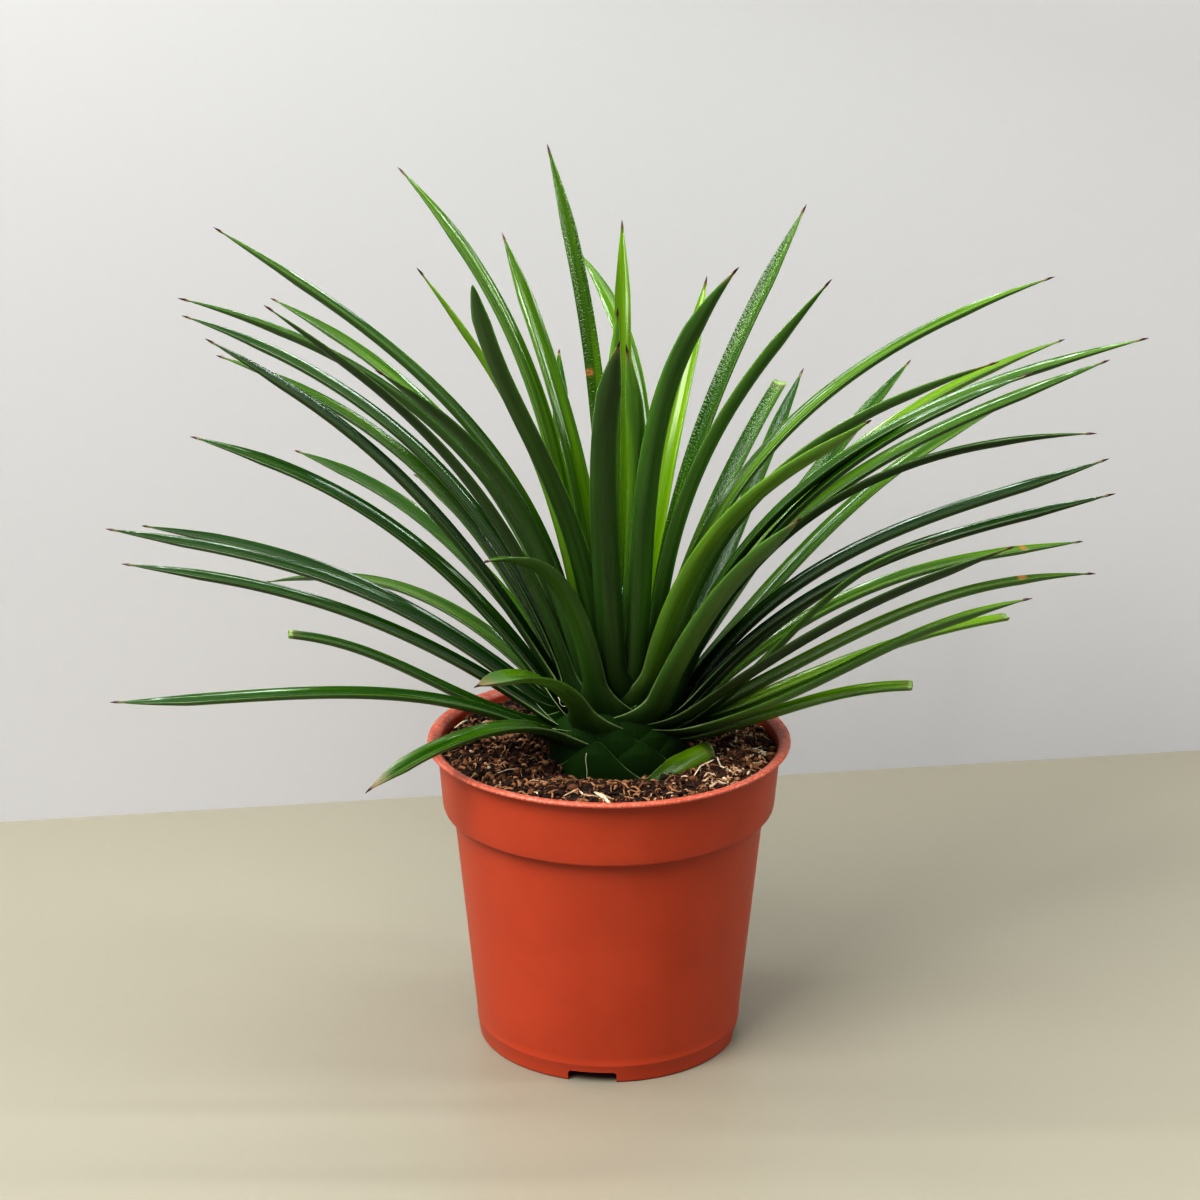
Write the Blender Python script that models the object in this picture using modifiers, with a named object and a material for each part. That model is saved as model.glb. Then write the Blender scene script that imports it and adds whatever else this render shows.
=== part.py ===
"""A potted agave: a rosette of narrow leaves on a short stem, in soil, in a plain nursery pot.

Metres, Z up. The origin is on the pot's axis, on the surface that the pot stands on.
The viewer of the reference picture stands on the -Y side.
"""

import math

import bmesh
import bpy
import numpy as np

MM = 0.001
GAP = 0.0003  # clearance between pieces that touch

# The pot
POT_HEIGHT = 0.105
LIP_RADIUS = 0.060
LIP_WIDTH = 0.0024
LIP_DEPTH = 0.0014
COLLAR_TOP_RADIUS = 0.0569
COLLAR_FOOT_RADIUS = 0.0548
COLLAR_HEIGHT = 0.0195
COLLAR_ROUNDING = 0.0012
BODY_TOP_RADIUS = 0.0514
FOOT_RADIUS = 0.0438
FOOT_ROUNDING = 0.0008
FOOT_RING_WIDTH = 0.0030
WALL = 0.0012
FLOOR_RISE = 0.0040  # from the surface up to the underside of the floor
NOTCH_COUNT = 4
NOTCH_WIDTH = 0.0160
NOTCH_HEIGHT = 0.0037
NOTCH_ROUNDING = 0.0010
NOTCH_BEARING = 263.0  # degrees anticlockwise from +X, seen from above
DRAIN_COUNT = 8
DRAIN_RADIUS = 0.0040
DRAIN_CIRCLE = 0.0270
POT_STEPS = 56

# The soil
SOIL_EDGE = 0.1015  # height of its surface at the wall
SOIL_MIDDLE = 0.1030
SOIL_STEPS = 40

# The stem: a rounded crown above the soil, and a taper with the roots' stump below it
STEM_PLACE = (0.004, -0.007)
CROWN_RADIUS = 0.0190
CROWN_HEIGHT = 0.0290  # above the soil's middle
STEM_DEPTH = 0.0300
STUMP_RADIUS = 0.0080
STEM_STEPS = 32

# The tie: a hoop that stands between the innermost leaves
TIE_PLACE = (0.0031, -0.0076, 0.1550)
TIE_RADIUS = 0.0075
TIE_THICKNESS = 0.0042
TIE_STEPS = 28

# The leaves
SEAT_LOW = 0.0035  # height of the lowest leaf's base on the crown
SEAT_HIGH = 0.0265
BASE_INSET = 0.0050  # how far a leaf is drawn into the crown before it is cut off
BLADE_STATIONS = 11
LAUNCH_HANDLE = 0.40  # how long the slope at the base holds, as a share of the length
FINISH_HANDLE = 0.36
BASE_WIDTH = 0.68  # the width where a leaf meets the crown, as a share of its full width
KEEL_SHARE = 0.40  # depth of the underside below the margins, as a share of the width
CHANNEL_SHARE = 0.12  # depth of the upper face below the margins
SPINE, CUT = "spine", "cut"

# Each leaf, from the lowest on the crown to the heart. Bearing: degrees anticlockwise from +X.
# Reach and rise: the tip from the crown's axis and from the soil, in millimetres. Launch and
# finish: slope at base and tip in degrees. Turn: bearing at the base less that at the tip.
LEAVES = (
    # bearing, reach, rise, launch, finish, turn, width, end
    (347, 30, 3, 12, -6, -62, 7.0, CUT),
    (207, 91, 1, 60, -46, 18, 8.0, SPINE),
    (136, 181, 16, 34, -22, 0, 6.5, SPINE),
    (192, 165, 29, 38, -4, 14, 7.5, SPINE),
    (15, 134, 35, 18, 4, 0, 6.5, CUT),
    (149, 199, 45, 30, -4, 0, 7.0, SPINE),
    (350, 94, 29, 16, 4, 0, 7.0, CUT),
    (27, 182, 46, 38, -4, 0, 7.0, SPINE),
    (163, 183, 59, 40, 2, 0, 7.0, SPINE),
    (121, 145, 58, 30, 0, 0, 6.5, SPINE),
    (62, 140, 98, 24, 34, 0, 6.5, SPINE),
    (177, 163, 61, 36, 4, 0, 7.0, SPINE),
    (39, 176, 88, 38, 8, 0, 6.5, SPINE),
    (190, 107, 47, 16, 8, 2, 7.0, CUT),
    (0, 153, 61, 28, -2, 0, 7.5, SPINE),
    (135, 165, 69, 44, 0, 0, 7.0, SPINE),
    (335, 137, 72, 20, 16, 0, 8.0, SPINE),
    (50, 162, 101, 36, 24, 0, 7.0, SPINE),
    (238, 85, 48, 64, 0, 0, 9.0, SPINE),
    (164, 149, 95, 54, 8, 0, 7.5, SPINE),
    (13, 166, 89, 58, 14, 0, 7.5, SPINE),
    (327, 138, 94, 40, 24, 0, 8.0, SPINE),
    (355, 156, 92, 54, 14, 1, 7.5, SPINE),
    (150, 160, 113, 62, 8, -4, 7.0, SPINE),
    (100, 125, 105, 56, 20, 8, 6.5, SPINE),
    (28, 172, 119, 62, 8, 0, 7.5, SPINE),
    (340, 151, 122, 76, 4, 1, 7.5, SPINE),
    (300, 103, 107, 58, 34, 0, 8.5, SPINE),
    (157, 160, 131, 72, 8, 2, 7.0, SPINE),
    (58, 104, 102, 54, 32, 0, 6.5, CUT),
    (10, 161, 125, 70, 18, 2, 7.5, SPINE),
    (176, 133, 136, 60, 26, 0, 7.5, SPINE),
    (140, 159, 128, 72, 10, 0, 7.5, SPINE),
    (238, 80, 86, 74, -4, 6, 8.0, SPINE),
    (357, 164, 141, 78, 12, -2, 7.5, SPINE),
    (202, 116, 159, 74, 34, 7, 8.0, SPINE),
    (330, 127, 147, 82, 20, -3, 8.0, SPINE),
    (17, 148, 149, 84, 16, 12, 7.5, SPINE),
    (187, 138, 155, 84, 12, 3, 8.0, SPINE),
    (98, 109, 144, 68, 30, -22, 6.5, SPINE),
    (301, 133, 143, 76, 28, 4, 8.0, SPINE),
    (226, 104, 147, 74, 30, -1, 8.0, SPINE),
    (172, 131, 170, 86, 30, -6, 8.0, SPINE),
    (147, 87, 184, 84, 38, -4, 7.5, SPINE),
    (269, 88, 159, 72, 44, -9, 8.5, SPINE),
    (300, 67, 174, 80, 44, -12, 8.0, SPINE),
    (332, 71, 165, 88, 48, -10, 7.5, SPINE),
    (247, 109, 178, 85, 52, -11, 7.5, CUT),
    (32, 70, 174, 86, 56, 0, 7.0, SPINE),
    (120, 80, 158, 84, 48, 0, 7.0, SPINE),
    (200, 67, 166, 84, 50, 0, 7.5, SPINE),
    (62, 60, 147, 76, 62, 0, 6.5, SPINE),
    (90, 52, 166, 82, 64, -1, 6.0, SPINE),
    (118, 52, 192, 89, 58, -2, 6.0, SPINE),
    (271, 38, 146, 88, 70, 18, 6.5, SPINE),
    (266.4, 28, 155, 85, 80, -12, 5.6, SPINE),
)


def clear_scene():
    for obj in list(bpy.data.objects):
        bpy.data.objects.remove(obj, do_unlink=True)


def new_collection(name):
    collection = bpy.data.collections.new(name)
    bpy.context.scene.collection.children.link(collection)
    return collection


def new_material(name, colour, roughness, metallic=0.0):
    material = bpy.data.materials.new(name)
    material.use_nodes = True
    shader = material.node_tree.nodes["Principled BSDF"]
    shader.inputs["Base Color"].default_value = (*colour, 1.0)
    shader.inputs["Roughness"].default_value = roughness
    shader.inputs["Metallic"].default_value = metallic
    return material


def add_object(name, mesh, collection, material=None):
    obj = bpy.data.objects.new(name, mesh)
    collection.objects.link(obj)
    if material:
        mesh.materials.append(material)
    return obj


def turned(name, profile, steps, collection, material=None, closed=False):
    """A solid of revolution about Z from (radius, height) points that run down its outer side."""
    mesh = bpy.data.meshes.new(name)
    points = [(radius, 0.0, height) for radius, height in profile]
    edges = [(i, i + 1) for i in range(len(points) - 1)]
    if closed:
        edges.append((len(points) - 1, 0))
    mesh.from_pydata(points, edges, [])
    obj = add_object(name, mesh, collection, material)
    screw = obj.modifiers.new("turn", "SCREW")
    screw.axis = "Z"
    screw.steps = steps
    screw.render_steps = steps
    screw.use_merge_vertices = True
    screw.merge_threshold = 0.0001
    screw.use_smooth_shade = True
    return obj


def as_cutter(obj):
    obj.hide_render = True
    obj.display_type = "WIRE"
    return obj


def cut_away(obj, cutter):
    boolean = obj.modifiers.new(f"cut_{cutter.name}", "BOOLEAN")
    boolean.operation = "DIFFERENCE"
    boolean.solver = "EXACT"
    boolean.object = cutter


def arc(centre, radius, start, end, count):
    """Points on a quarter round or other arc, in degrees, as (radius, height) pairs."""
    angles = [math.radians(start + (end - start) * i / count) for i in range(count + 1)]
    return [(centre[0] + radius * math.cos(a), centre[1] + radius * math.sin(a)) for a in angles]


def body_radius(height):
    """Outer radius of the tapered body below the collar."""
    step = POT_HEIGHT - COLLAR_HEIGHT
    return FOOT_RADIUS + (BODY_TOP_RADIUS - FOOT_RADIUS) * height / step


def pot_inside(clearance=0.0):
    """The inner wall from the floor up to the lip, moved in by a clearance."""
    step = POT_HEIGHT - COLLAR_HEIGHT
    floor_top = FLOOR_RISE + WALL
    inset = WALL + clearance
    return [
        (body_radius(floor_top) - inset, floor_top + clearance),
        (BODY_TOP_RADIUS - inset, step - WALL),
        (COLLAR_FOOT_RADIUS - inset, step + WALL),
        (COLLAR_TOP_RADIUS - inset, POT_HEIGHT - LIP_DEPTH),
    ]


def build_pot(collection, cutters, material):
    step = POT_HEIGHT - COLLAR_HEIGHT
    rounding = LIP_DEPTH / 2
    lip = arc((LIP_RADIUS - rounding, POT_HEIGHT - rounding), rounding, 90, -90, 6)
    collar_foot = arc(
        (COLLAR_FOOT_RADIUS - COLLAR_ROUNDING, step + COLLAR_ROUNDING), COLLAR_ROUNDING, 0, -90, 3
    )
    foot = arc((FOOT_RADIUS - FOOT_ROUNDING, FOOT_ROUNDING), FOOT_ROUNDING, 0, -90, 3)
    profile = [
        (0.0, FLOOR_RISE + WALL),
        *pot_inside(),
        (LIP_RADIUS - LIP_WIDTH - 0.0004, POT_HEIGHT - 0.0003),
        (LIP_RADIUS - LIP_WIDTH, POT_HEIGHT),
        *lip,
        (COLLAR_TOP_RADIUS, POT_HEIGHT - LIP_DEPTH),
        *collar_foot,
        (BODY_TOP_RADIUS, step),
        *foot,
        (FOOT_RADIUS - FOOT_RING_WIDTH, 0.0),
        (FOOT_RADIUS - FOOT_RING_WIDTH, FLOOR_RISE),
        (0.0, FLOOR_RISE),
    ]
    pot = turned("pot", profile, POT_STEPS, collection, material)
    for i in range(NOTCH_COUNT):
        bearing = math.radians(NOTCH_BEARING + 360 * i / NOTCH_COUNT)
        cut_away(pot, notch_cutter(i + 1, bearing, cutters))
    for i in range(DRAIN_COUNT):
        bearing = math.radians(360 * (i + 0.5) / DRAIN_COUNT)
        cut_away(pot, drain_cutter(i + 1, bearing, cutters))
    return pot


def notch_cutter(number, bearing, cutters):
    """A block with rounded upper corners, through the foot ring."""
    mesh = bpy.data.meshes.new(f"notch_cutter_{number}")
    block = bmesh.new()
    bmesh.ops.create_cube(block, size=1.0)
    size = (4 * FOOT_RING_WIDTH, NOTCH_WIDTH, 2 * NOTCH_HEIGHT)
    bmesh.ops.scale(block, vec=size, verts=block.verts)
    upper = [edge for edge in block.edges if all(v.co.z > 0 for v in edge.verts)]
    lengthways = [edge for edge in upper if edge.verts[0].co.y == edge.verts[1].co.y]
    bmesh.ops.bevel(
        block, geom=lengthways, offset=NOTCH_ROUNDING, segments=2, affect="EDGES", profile=0.5
    )
    block.to_mesh(mesh)
    block.free()
    cutter = as_cutter(add_object(mesh.name, mesh, cutters))
    radius = FOOT_RADIUS - FOOT_RING_WIDTH / 2
    cutter.location = (radius * math.cos(bearing), radius * math.sin(bearing), 0.0)
    cutter.rotation_euler = (0.0, 0.0, bearing)
    return cutter


def drain_cutter(number, bearing, cutters):
    """A cylinder through the floor."""
    mesh = bpy.data.meshes.new(f"drain_cutter_{number}")
    drill = bmesh.new()
    bmesh.ops.create_cone(
        drill, cap_ends=True, segments=16, radius1=DRAIN_RADIUS, radius2=DRAIN_RADIUS, depth=6 * WALL
    )
    drill.to_mesh(mesh)
    drill.free()
    cutter = as_cutter(add_object(mesh.name, mesh, cutters))
    cutter.location = (
        DRAIN_CIRCLE * math.cos(bearing),
        DRAIN_CIRCLE * math.sin(bearing),
        FLOOR_RISE + WALL / 2,
    )
    return cutter


def crown_radius(height):
    """Radius of the crown at a height above the soil."""
    return CROWN_RADIUS * math.sqrt(max(0.0, 1.0 - (height / CROWN_HEIGHT) ** 2))


def stem_profile(clearance=0.0):
    """The stem's outline, from its top down, moved out by a clearance."""
    scale_out = (CROWN_RADIUS + clearance, CROWN_HEIGHT + clearance)
    dome = [
        (scale_out[0] * math.cos(math.radians(a)), SOIL_MIDDLE + scale_out[1] * math.sin(math.radians(a)))
        for a in range(90, -1, -9)
    ]
    dome[0] = (0.0, dome[0][1])
    return [
        *dome,
        (CROWN_RADIUS + clearance, SOIL_MIDDLE - 0.004),
        (STUMP_RADIUS + clearance, SOIL_MIDDLE - STEM_DEPTH),
        (0.0, SOIL_MIDDLE - STEM_DEPTH - clearance),
    ]


def build_stem(collection, material):
    stem = turned("stem", stem_profile(), STEM_STEPS, collection, material)
    stem.location = (*STEM_PLACE, 0.0)
    return stem


def build_soil(collection, cutters, material):
    inside = pot_inside(GAP)
    wall_top = (inside[3][0], SOIL_EDGE)
    profile = [
        (0.0, SOIL_MIDDLE),
        (CROWN_RADIUS * 1.6, SOIL_MIDDLE - 0.0003),
        wall_top,
        inside[2],
        inside[1],
        inside[0],
        (0.0, inside[0][1]),
    ]
    soil = turned("soil", profile, SOIL_STEPS, collection, material)
    pocket = as_cutter(turned("stem_pocket", stem_profile(GAP), STEM_STEPS, cutters))
    pocket.location = (*STEM_PLACE, 0.0)
    cut_away(soil, pocket)
    return soil


def build_tie(collection, material):
    ring = arc((TIE_RADIUS, 0.0), TIE_THICKNESS / 2, 90, -270, 14)[:-1]
    tie = turned("tie", ring, TIE_STEPS, collection, material, closed=True)
    tie.location = TIE_PLACE
    return tie


def direction(bearing, slope):
    """Unit vector at a bearing and a slope above the horizontal, both in degrees."""
    b, s = math.radians(bearing), math.radians(slope)
    return np.array([math.cos(s) * math.cos(b), math.cos(s) * math.sin(b), math.sin(s)])


def leaf_curve(leaf, seat):
    """The four control points of a leaf's centre line, and its bearing."""
    bearing, reach, rise, launch, finish, turn = leaf[:6]
    middle = np.array([*STEM_PLACE, SOIL_MIDDLE])
    outward = direction(bearing + turn, 0.0)
    start = middle + outward * crown_radius(seat) + np.array([0.0, 0.0, seat])
    tip = middle + direction(bearing, 0.0) * reach * MM + np.array([0.0, 0.0, rise * MM])
    chord = tip - start
    length = np.linalg.norm(chord)
    chord_bearing = math.degrees(math.atan2(chord[1], chord[0]))
    leave = direction(bearing + turn, launch)
    swing = (chord_bearing - bearing - turn + 180) % 360 - 180
    arrive = direction(chord_bearing + swing, finish)
    return (start, start + leave * length * LAUNCH_HANDLE, tip - arrive * length * FINISH_HANDLE, tip)


def bezier(points, t):
    a, b, c, d = points
    place = a * (1 - t) ** 3 + 3 * b * t * (1 - t) ** 2 + 3 * c * t**2 * (1 - t) + d * t**3
    slope = 3 * (b - a) * (1 - t) ** 2 + 6 * (c - b) * t * (1 - t) + 3 * (d - c) * t**2
    return place, slope / np.linalg.norm(slope)


def blade_width(share, full, end):
    """Width of a leaf at a share of its length."""
    if share < 0.15:
        body = BASE_WIDTH + (1 - BASE_WIDTH) * share / 0.15
    else:
        body = 1 - 0.38 * ((share - 0.15) / 0.85) ** 1.3
    if end == CUT:
        return full * body * (1.0 if share < 0.98 else 0.72)
    taper = min(1.0, ((1 - share) / 0.16) ** 0.8)
    return full * max(body * taper, 0.07)


def blade_section(width):
    """A crescent, as offsets across the blade and above its margins."""
    keel, channel = -KEEL_SHARE * width, -CHANNEL_SHARE * width
    return [
        (-0.50 * width, 0.0),
        (-0.26 * width, keel),
        (0.26 * width, keel),
        (0.50 * width, 0.0),
        (0.22 * width, channel),
        (-0.22 * width, channel),
    ]


def build_leaf(number, leaf, seat, crown_cutter, collection, material):
    curve = leaf_curve(leaf, seat)
    across = direction(leaf[0] + leaf[5] / 2 + 90, 0.0)
    shares = [i / (BLADE_STATIONS - 1) for i in range(BLADE_STATIONS)]
    shares = [s - 0.06 * s * (1 - s) for s in shares]
    stations = [(*bezier(curve, share), share) for share in shares]
    start, along, share = stations[0]
    stations.insert(0, (start - along * BASE_INSET, along, share))
    blade = bmesh.new()
    loops = []
    for place, along, share in stations:
        side = across - along * across.dot(along)
        side /= np.linalg.norm(side)
        upward = np.cross(along, side)
        width = blade_width(share, leaf[6] * MM, leaf[7])
        loops.append(
            [blade.verts.new(place + side * x + upward * y) for x, y in blade_section(width)]
        )
    for first, second in zip(loops, loops[1:]):
        count = len(first)
        for i in range(count):
            j = (i + 1) % count
            blade.faces.new((first[i], first[j], second[j], second[i]))
    blade.faces.new(loops[0][::-1])
    blade.faces.new(loops[-1])
    bmesh.ops.recalc_face_normals(blade, faces=blade.faces)
    mesh = bpy.data.meshes.new(f"leaf_{number:02d}")
    blade.to_mesh(mesh)
    blade.free()
    obj = add_object(mesh.name, mesh, collection, material)
    cut_away(obj, crown_cutter)
    return obj


def seat_of(index):
    return SEAT_LOW + (SEAT_HIGH - SEAT_LOW) * index / (len(LEAVES) - 1)


def main():
    clear_scene()
    parts = new_collection("potted_agave")
    cutters = new_collection("cutters")
    pot_plastic = new_material("pot_plastic", (0.55, 0.085, 0.030), 0.45)
    soil_fibre = new_material("soil_fibre", (0.070, 0.035, 0.018), 0.95)
    stem_flesh = new_material("stem_flesh", (0.32, 0.38, 0.16), 0.60)
    leaf_green = new_material("leaf_green", (0.045, 0.140, 0.020), 0.35)
    build_pot(parts, cutters, pot_plastic)
    build_soil(parts, cutters, soil_fibre)
    build_stem(parts, stem_flesh)
    tie_plastic = new_material("tie_plastic", (0.010, 0.230, 0.190), 0.30)
    build_tie(parts, tie_plastic)
    crown_cutter = as_cutter(turned("crown_cutter", stem_profile(GAP), STEM_STEPS, cutters))
    crown_cutter.location = (*STEM_PLACE, 0.0)
    for index, leaf in enumerate(LEAVES):
        build_leaf(index + 1, leaf, seat_of(index), crown_cutter, parts, leaf_green)


if __name__ == "__main__":
    main()
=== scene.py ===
"""The looks of the potted agave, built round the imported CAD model.

Metres, Z up, the viewer of the photograph at -Y. Leaves, pot, soil, stem and tie are finer
meshes on the same construction as the CAD nodes that they replace.
"""

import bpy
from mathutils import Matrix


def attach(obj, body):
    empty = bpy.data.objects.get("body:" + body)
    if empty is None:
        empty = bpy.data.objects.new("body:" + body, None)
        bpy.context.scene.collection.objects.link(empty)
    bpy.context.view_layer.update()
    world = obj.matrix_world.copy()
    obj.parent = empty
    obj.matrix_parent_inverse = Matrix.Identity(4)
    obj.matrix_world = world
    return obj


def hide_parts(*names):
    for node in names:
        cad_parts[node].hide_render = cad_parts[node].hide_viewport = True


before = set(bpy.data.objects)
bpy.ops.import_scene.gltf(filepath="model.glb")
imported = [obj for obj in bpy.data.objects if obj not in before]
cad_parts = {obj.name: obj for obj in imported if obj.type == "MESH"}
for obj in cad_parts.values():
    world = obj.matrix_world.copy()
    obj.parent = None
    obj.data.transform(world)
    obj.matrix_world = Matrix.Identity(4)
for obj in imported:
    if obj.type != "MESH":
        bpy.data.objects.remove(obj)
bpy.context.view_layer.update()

import math
import random

import bmesh
import bpy
import numpy as np
from mathutils import Matrix, Vector, noise

MM = 0.001

# The camera: its place was worked out from the pot's lip, collar and foot
CAMERA_PLACE = (-0.003, -0.927, 0.4635)
CAMERA_PITCH = 18.55  # degrees below the horizontal
CAMERA_ROLL = 0.1
LENS = 90.0
SENSOR = 36.0

# The room
WALL_PLACE = (0.0, 0.215)
WALL_BEARING = 9.3
WORLD_LOW = 0.20  # light from the horizon
WORLD_HIGH = 0.60  # light from straight above

# The pot, as in the CAD model, but with the collar 4 mm deeper and the body a little wider,
# as the photograph shows them
POT_HEIGHT = 0.105
LIP_RADIUS = 0.060
LIP_WIDTH = 0.0024
LIP_DEPTH = 0.0014
COLLAR_TOP_RADIUS = 0.0569
COLLAR_FOOT_RADIUS = 0.0549
COLLAR_HEIGHT = 0.0235
BODY_TOP_RADIUS = 0.0516
FOOT_RADIUS = 0.0438
FOOT_RING_WIDTH = 0.0030
WALL = 0.0012
FLOOR_RISE = 0.0040
NOTCH_WIDTH = 0.0160
NOTCH_HEIGHT = 0.0037
NOTCH_BEARING = 263.0
DRAIN_RADIUS = 0.0040
DRAIN_CIRCLE = 0.0270

# The soil and the stem, as in the CAD model
SOIL_EDGE = 0.1015
SOIL_MIDDLE = 0.1030
SOIL_RADIUS = 0.0554
STEM_PLACE = (0.004, -0.007)
CROWN_RADIUS = 0.0190
CROWN_HEIGHT = 0.0290

# The tie
TIE_PLACE = (0.0031, -0.0076, 0.1550)
TIE_RADIUS = 0.0075
TIE_THICKNESS = 0.0042

# The leaves
SEAT_LOW = 0.0035
SEAT_HIGH = 0.0265
LAUNCH_HANDLE = 0.40
FINISH_HANDLE = 0.36
SHORT_LEAF = 0.035  # a cut leaf shorter than this lies straight
SHORT_LEAF_SHIFT = (0.0030, -0.0095, -0.0042)

# How a leaf ends; a point is the end of an old base
SPINE, CUT, POINT, BLUNT = "spine", "cut", "point", "blunt"

# Bearing, reach, rise, launch, finish, turn, width and end, as in the CAD model, where the
# first leaf is 0.4 mm narrower and the 48th is cut; then the tone, from 0 for a deep
# grey-green blade to 1 for a bright yellow-green one. Each tone is set to how bright the leaf
# looks where it stands, so it paints the light and shade that fall on the leaf, such as the glow
# of the inner leaves with light behind them, along with the leaf's own colour
LEAVES = (
    (347, 30, 3, 12, -6, -62, 7.4, CUT, 0.95),
    (207, 91, 1, 60, -46, 18, 8.0, SPINE, 0.42),
    (136, 181, 16, 34, -22, 0, 6.5, SPINE, 0.45),
    (192, 165, 29, 38, -4, 14, 7.5, SPINE, 0.35),
    (15, 134, 35, 18, 4, 0, 6.5, CUT, 0.97),
    (149, 199, 45, 30, -4, 0, 7.0, SPINE, 0.08),
    (350, 94, 29, 16, 4, 0, 7.0, CUT, 0.75),
    (27, 182, 46, 38, -4, 0, 7.0, SPINE, 0.60),
    (163, 183, 59, 40, 2, 0, 7.0, SPINE, 0.08),
    (121, 145, 58, 30, 0, 0, 6.5, SPINE, 0.50),
    (62, 140, 98, 24, 34, 0, 6.5, SPINE, 0.30),
    (177, 163, 61, 36, 4, 0, 7.0, SPINE, 0.10),
    (39, 176, 88, 38, 8, 0, 6.5, SPINE, 0.55),
    (190, 107, 47, 16, 8, 2, 7.0, CUT, 0.35),
    (0, 153, 61, 28, -2, 0, 7.5, SPINE, 0.65),
    (135, 165, 69, 44, 0, 0, 7.0, SPINE, 0.40),
    (335, 137, 72, 20, 16, 0, 8.0, SPINE, 0.60),
    (50, 162, 101, 36, 24, 0, 7.0, SPINE, 0.35),
    (238, 85, 48, 64, 0, 0, 9.0, SPINE, 0.72),
    (164, 149, 95, 54, 8, 0, 7.5, SPINE, 0.20),
    (13, 166, 89, 58, 14, 0, 7.5, SPINE, 0.10),
    (327, 138, 94, 40, 24, 0, 8.0, SPINE, 0.02),
    (355, 156, 92, 54, 14, 1, 7.5, SPINE, 0.00),
    (150, 160, 113, 62, 8, -4, 7.0, SPINE, 0.40),
    (100, 125, 105, 56, 20, 8, 6.5, SPINE, 0.40),
    (28, 172, 119, 62, 8, 0, 7.5, SPINE, 0.80),
    (340, 151, 122, 76, 4, 1, 7.5, SPINE, 0.04),
    (300, 103, 107, 58, 34, 0, 8.5, SPINE, 0.60),
    (157, 160, 131, 72, 8, 2, 7.0, SPINE, 0.18),
    (58, 104, 102, 54, 32, 0, 6.5, CUT, 0.45),
    (10, 161, 125, 70, 18, 2, 7.5, SPINE, 0.50),
    (176, 133, 136, 60, 26, 0, 7.5, SPINE, 0.06),
    (140, 159, 128, 72, 10, 0, 7.5, SPINE, 0.52),
    (238, 80, 86, 74, -4, 6, 8.0, SPINE, 0.52),
    (357, 164, 141, 78, 12, -2, 7.5, SPINE, 0.40),
    (202, 116, 159, 74, 34, 7, 8.0, SPINE, 0.14),
    (330, 127, 147, 82, 20, -3, 8.0, SPINE, 0.50),
    (17, 148, 149, 84, 16, 12, 7.5, SPINE, 0.60),
    (187, 138, 155, 84, 12, 3, 8.0, SPINE, 0.35),
    (98, 109, 144, 68, 30, -22, 6.5, SPINE, 0.60),
    (301, 133, 143, 76, 28, 4, 8.0, SPINE, 0.85),
    (226, 104, 147, 74, 30, -1, 8.0, SPINE, 0.30),
    (172, 131, 170, 86, 30, -6, 8.0, SPINE, 0.36),
    (147, 87, 184, 84, 38, -4, 7.5, SPINE, 0.65),
    (269, 88, 159, 72, 44, -9, 8.5, SPINE, 0.25),
    (300, 67, 174, 80, 44, -12, 8.0, SPINE, 0.50),
    (332, 71, 165, 88, 48, -10, 7.5, SPINE, 0.60),
    (247, 109, 178, 85, 52, -11, 7.5, BLUNT, 0.42),
    (32, 70, 174, 86, 56, 0, 7.0, SPINE, 0.45),
    (120, 80, 158, 84, 48, 0, 7.0, SPINE, 0.65),
    (200, 67, 166, 84, 50, 0, 7.5, SPINE, 1.00),
    (62, 60, 147, 76, 62, 0, 6.5, SPINE, 0.95),
    (90, 52, 166, 82, 64, -1, 6.0, SPINE, 0.90),
    (118, 52, 192, 89, 58, -2, 6.0, SPINE, 0.65),
    (271, 38, 146, 88, 70, 18, 6.5, SPINE, 0.75),
    (266.4, 28, 155, 85, 80, -12, 5.6, SPINE, 0.85),
)

# Leaves that the CAD model has no room for: name and seat height, then as above
MORE_LEAVES = (
    ("leaf_right_under", 17.0, (352, 128, 132, 70, 20, 0, 6.5, SPINE, 0.25)),
    ("leaf_right_short", 10.5, (6, 120, 75, 48, 12, 0, 6.5, SPINE, 0.40)),
    ("leaf_right_low", 9.0, (346, 102, 80, 36, 14, 0, 6.5, SPINE, 0.45)),
    ("leaf_heart_short", 22.0, (106, 36, 131, 84, 68, 0, 5.5, SPINE, 0.85)),
)

# Things on the soil, in mm: pale chips as x, y and size; twigs as thickness, tone and places
CHIPS = (
    (7.5, -51.6, 1.0), (-10.8, -51.7, 0.9), (51.0, -8.0, 0.9), (-33.8, -19.5, 1.0),
    (45.1, -13.5, 0.8), (-39.0, -22.0, 0.7), (-30.0, -26.0, 0.6), (-23.0, -43.5, 0.8),
    (20.0, -46.0, 0.6), (38.0, -32.0, 0.6),
)
TWIGS = (
    (0.75, 1.25, (-4.5, -43.8), (-1.6, -49.2), (1.2, -54.2)),
    (0.45, 1.1, (-52.0, 16.5), (-49.5, 19.8), (-47.5, 22.5)),
    (
        0.40, 0.92, (27.3, -30.2), (29.5, -23.2), (33.4, -17.5), (35.3, -16.3), (36.3, -21.5),
        (41.3, -27.5),
    ),
    (0.35, 0.85, (47.0, -12.0), (50.0, -7.5), (53.4, -3.5)),
    (0.35, 0.80, (-28.0, -37.0), (-24.5, -33.5), (-20.0, -35.0), (-17.0, -31.0)),
    (0.40, 0.90, (-14.5, -45.0), (-10.0, -42.0), (-8.0, -46.0), (-4.0, -47.5)),
    (0.30, 0.95, (-36.0, -26.5), (-32.5, -24.5), (-29.0, -26.0)),
    (0.35, 0.80, (16.0, -48.0), (19.0, -43.5), (22.0, -45.5)),
)

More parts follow.
